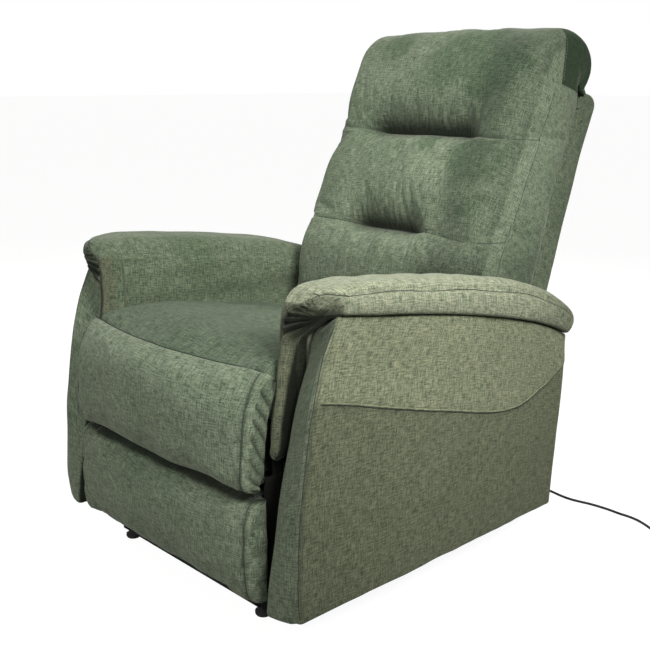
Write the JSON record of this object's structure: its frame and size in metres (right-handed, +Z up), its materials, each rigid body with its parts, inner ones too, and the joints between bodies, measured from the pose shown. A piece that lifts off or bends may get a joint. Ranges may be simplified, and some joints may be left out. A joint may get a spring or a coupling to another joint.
{
  "type": "lift recliner chair",
  "caption": "Upholstered lift recliner: padded arms, tufted pillow back, folding footrest, on a steel base whose linkage raises and tilts the seat.",
  "frame": {"origin": "on the floor under the middle of the chair's bounding box, mains lead left out", "axes": "+X to the sitter's left, front of the seat towards -Y, +Z up"},
  "size_m": [1.0378, 1.064, 1.0875],
  "materials": {
    "upholstery": "short-pile woven velvet, grey-green, heathered",
    "webbing": "black woven elastic",
    "wood": "bare plywood and softwood",
    "black_steel": "black powder coat",
    "zinc_steel": "zinc plated",
    "black_plastic": "textured black",
    "black_rubber": "matte black"
  },
  "bodies": {
    "base": {"base_frame": "black_steel", "foot_front_left": "black_rubber", "foot_front_right": "black_rubber", "foot_rear_left": "black_rubber", "foot_rear_right": "black_rubber", "power_supply": "black_plastic", "mains_strain_relief": "black_rubber", "mains_cord": "black_rubber", "mains_cord_coil": "black_rubber", "mains_plug": "black_plastic"},
    "lift_frame": {"lift_frame": "black_steel"},
    "guide_links": {"lift_guide_link_left": "black_steel", "lift_guide_link_right": "black_steel"},
    "lift_actuator": {"lift_actuator": "black_plastic"},
    "lift_rod": {"lift_actuator_rod": "zinc_steel"},
    "chair": {"chassis_plate_left": "black_steel", "chassis_plate_right": "black_steel", "chassis_cross_tube": "black_steel", "seat_side_rail_left": "wood", "seat_side_rail_right": "wood", "seat_front_rail": "wood", "seat_rear_rail": "wood", "seat_springs": "zinc_steel", "seat_cushion": "upholstery", "seat_front_pad": "upholstery", "wing_left": "upholstery", "wing_right": "upholstery", "arm_board_left": "wood", "arm_board_right": "wood", "inner_arm_left": "upholstery", "inner_arm_right": "upholstery", "arm_pad_left": "upholstery", "arm_pad_right": "upholstery", "rear_skirt": "upholstery", "handset_holder": "black_plastic"},
    "back": {"back_cover": "upholstery", "back_post_left": "wood", "back_post_right": "wood", "back_hinge_left": "black_steel", "back_hinge_right": "black_steel", "back_top_rail": "wood", "back_middle_rail": "wood", "back_bottom_rail": "wood", "back_webbing": "webbing", "lumbar_cushion": "upholstery", "middle_cushion": "upholstery", "head_cushion": "upholstery"},
    "recline_actuator": {"recline_actuator": "black_plastic"},
    "recline_rod": {"recline_actuator_rod": "zinc_steel"},
    "footrest_crank": {"footrest_drive_tube": "black_steel", "footrest_crank_left": "black_steel", "footrest_crank_right": "black_steel"},
    "footrest_carrier": {"footrest_carrier_left": "black_steel", "footrest_carrier_right": "black_steel"},
    "footrest": {"footrest_board": "wood", "footrest_pad": "upholstery"},
    "handset": {"handset": "black_plastic"},
    "rocker_upper": {"handset_rocker_upper": "black_rubber"},
    "rocker_lower": {"handset_rocker_lower": "black_rubber"}
  },
  "joints": [
    {"name": "lift", "type": "hinge", "parent": "base", "child": "lift_frame", "pos_m": [0, -0.3, 0.085], "axis": [1, 0, 0], "range_deg": [0, 50]},
    {"name": "chair_tilt", "type": "hinge", "parent": "lift_frame", "child": "chair", "pos_m": [0, 0.076, 0.138], "axis": [1, 0, 0], "range_deg": [-25.1, 0.1]},
    {"name": "guide_link_swing", "type": "hinge", "parent": "base", "child": "guide_links", "pos_m": [0, -0.3587, 0.1155], "axis": [1, 0, 0], "range_deg": [-0.1, 53.5]},
    {"name": "lift_actuator_swing", "type": "hinge", "parent": "base", "child": "lift_actuator", "pos_m": [0, 0.15, 0.06], "axis": [1, 0, 0], "range_deg": [-2.9, 0.1]},
    {"name": "lift_rod_slide", "type": "slide", "parent": "lift_actuator", "child": "lift_rod", "axis": [0, -0.9516, 0.3073], "range_m": [-0.0005, 0.1908]},
    {"name": "recline", "type": "hinge", "parent": "chair", "child": "back", "pos_m": [0, 0.15, 0.33], "axis": [-1, 0, 0], "range_deg": [0, 38]},
    {"name": "recline_actuator_swing", "type": "hinge", "parent": "chair", "child": "recline_actuator", "pos_m": [0, -0.25, 0.175], "axis": [1, 0, 0], "range_deg": [-0.1, 7.84]},
    {"name": "recline_rod_slide", "type": "slide", "parent": "recline_actuator", "child": "recline_rod", "axis": [0, 0.9945, 0.1047], "range_m": [-0.0604, 0.0005]},
    {"name": "footrest_extend", "type": "hinge", "parent": "chair", "child": "footrest_crank", "pos_m": [0, -0.38, 0.24], "axis": [-1, 0, 0], "range_deg": [0, 136]},
    {"name": "footrest_carrier_swing", "type": "hinge", "parent": "footrest_crank", "child": "footrest_carrier", "pos_m": [0, -0.247, 0.151], "axis": [-1, 0, 0], "range_deg": [-111.1, 0.1]},
    {"name": "footrest_board_turn", "type": "hinge", "parent": "footrest_carrier", "child": "footrest", "pos_m": [0, -0.465, 0.17], "axis": [-1, 0, 0], "range_deg": [-0.1, 59.1]},
    {"name": "handset_lift_out", "type": "slide", "parent": "chair", "child": "handset", "axis": [0, 0, 1], "range_m": [0, 0.075]},
    {"name": "rocker_upper_press", "type": "hinge", "parent": "handset", "child": "rocker_upper", "pos_m": [-0.4056, -0.2, 0.444], "axis": [0, 1, 0], "range_deg": [-5, 5], "stiffness_Nm_per_rad": 0.3},
    {"name": "rocker_lower_press", "type": "hinge", "parent": "handset", "child": "rocker_lower", "pos_m": [-0.4056, -0.2, 0.413], "axis": [0, 1, 0], "range_deg": [-5, 5], "stiffness_Nm_per_rad": 0.3}
  ],
  "couplings": [
    {"joint": "chair_tilt", "follows": "lift", "ratio": -0.5},
    {"joint": "guide_link_swing", "follows": "lift", "ratio": 1.0679},
    {"joint": "lift_actuator_swing", "follows": "lift", "ratio": -0.05594},
    {"joint": "lift_rod_slide", "follows": "lift", "m_per_rad": 0.21749},
    {"joint": "recline_actuator_swing", "follows": "recline", "ratio": 0.20368},
    {"joint": "recline_rod_slide", "follows": "recline", "m_per_rad": -0.08958},
    {"joint": "footrest_carrier_swing", "follows": "footrest_extend", "ratio": -0.81618},
    {"joint": "footrest_board_turn", "follows": "footrest_extend", "ratio": 0.43382}
  ]
}
